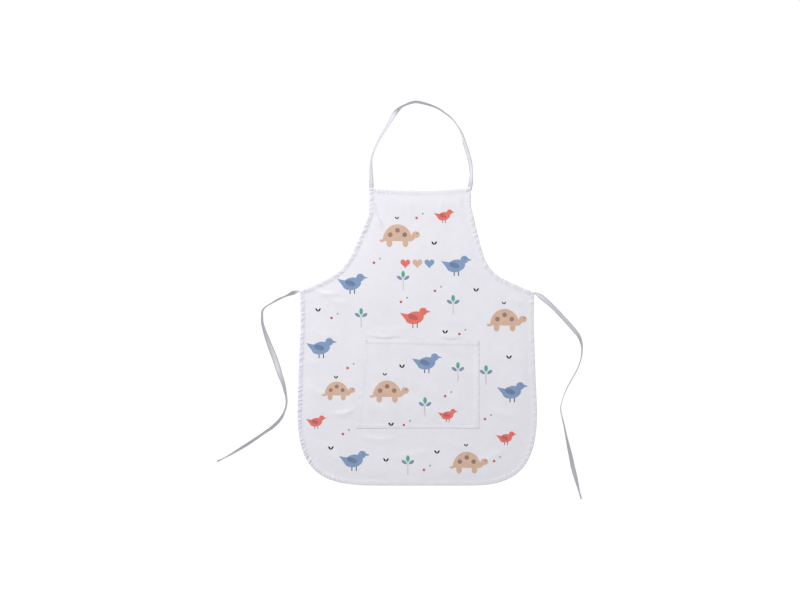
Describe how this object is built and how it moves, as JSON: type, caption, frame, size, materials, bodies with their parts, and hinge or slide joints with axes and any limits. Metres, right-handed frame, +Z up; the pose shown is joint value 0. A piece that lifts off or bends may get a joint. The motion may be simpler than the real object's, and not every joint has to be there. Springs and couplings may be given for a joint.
{
  "type": "bib apron",
  "caption": "Flat-laid cotton bib apron with curved armholes, round lower corners, a wide patch pocket, a neck tape loop and two waist ties.",
  "frame": {"origin": "centre of the box around the cloth and the neck tape, without the two ties, on the surface that the apron lies on", "axes": "+X to the viewer's right of the printed front, +Y from the skirt towards the neck, +Z up out of the printed front"},
  "size_m": [1.0026, 1.0906, 0.0151],
  "materials": {
    "cloth": "white plain-weave cotton blend with a coloured print",
    "pocket_cloth": "white plain-weave cotton blend with a coloured print",
    "tape": "soft white woven tape",
    "thread": "white sewing thread"
  },
  "bodies": {
    "skirt": {"skirt_panel": "cloth", "left_side_hem": "cloth", "right_side_hem": "cloth", "bottom_hem": "cloth", "left_side_seam": "thread", "right_side_seam": "thread", "bottom_seam": "thread", "left_tie_casing": "cloth", "right_tie_casing": "cloth", "left_tie_bar_tack": "thread", "right_tie_bar_tack": "thread", "pocket_edge": "pocket_cloth", "pocket_edge_seam": "thread", "left_pocket_bar_tack": "thread", "right_pocket_bar_tack": "thread"},
    "bib": {"bib_panel": "cloth", "bib_top_hem": "cloth", "left_armhole_hem": "cloth", "right_armhole_hem": "cloth", "bib_top_seam": "thread", "left_armhole_seam": "thread", "right_armhole_seam": "thread", "left_neck_bar_tack": "thread", "right_neck_bar_tack": "thread"},
    "neck_loop": {"neck_tape": "tape"},
    "pocket_mouth": {"pocket_front": "pocket_cloth", "pocket_mouth_hem": "pocket_cloth", "pocket_mouth_seam": "thread"},
    "left_tie": {"left_waist_tie": "tape", "left_tie_end_hem": "tape"},
    "right_tie": {"right_waist_tie": "tape", "right_tie_end_hem": "tape"}
  },
  "joints": [
    {"name": "bib_fold", "type": "hinge", "parent": "skirt", "child": "bib", "pos_m": [0, 0.02, 0.004], "axis": [1, 0, 0], "range_deg": [0, 172]},
    {"name": "neck_tape_fold", "type": "hinge", "parent": "bib", "child": "neck_loop", "pos_m": [0.009, 0.289, 0.006], "axis": [-1, 0, 0], "range_deg": [-168, 0]},
    {"name": "pocket_mouth_open", "type": "hinge", "parent": "skirt", "child": "pocket_mouth", "pos_m": [0, -0.3625, 0.0073], "axis": [-1, 0, 0], "range_deg": [-8, 0]},
    {"name": "left_tie_swing", "type": "hinge", "parent": "skirt", "child": "left_tie", "pos_m": [-0.321, 0.008, 0.001], "axis": [0, 0, -1], "range_deg": [0, 110]},
    {"name": "right_tie_swing", "type": "hinge", "parent": "skirt", "child": "right_tie", "pos_m": [0.32, 0.002, 0.001], "axis": [0, 0, 1], "range_deg": [0, 110]}
  ]
}
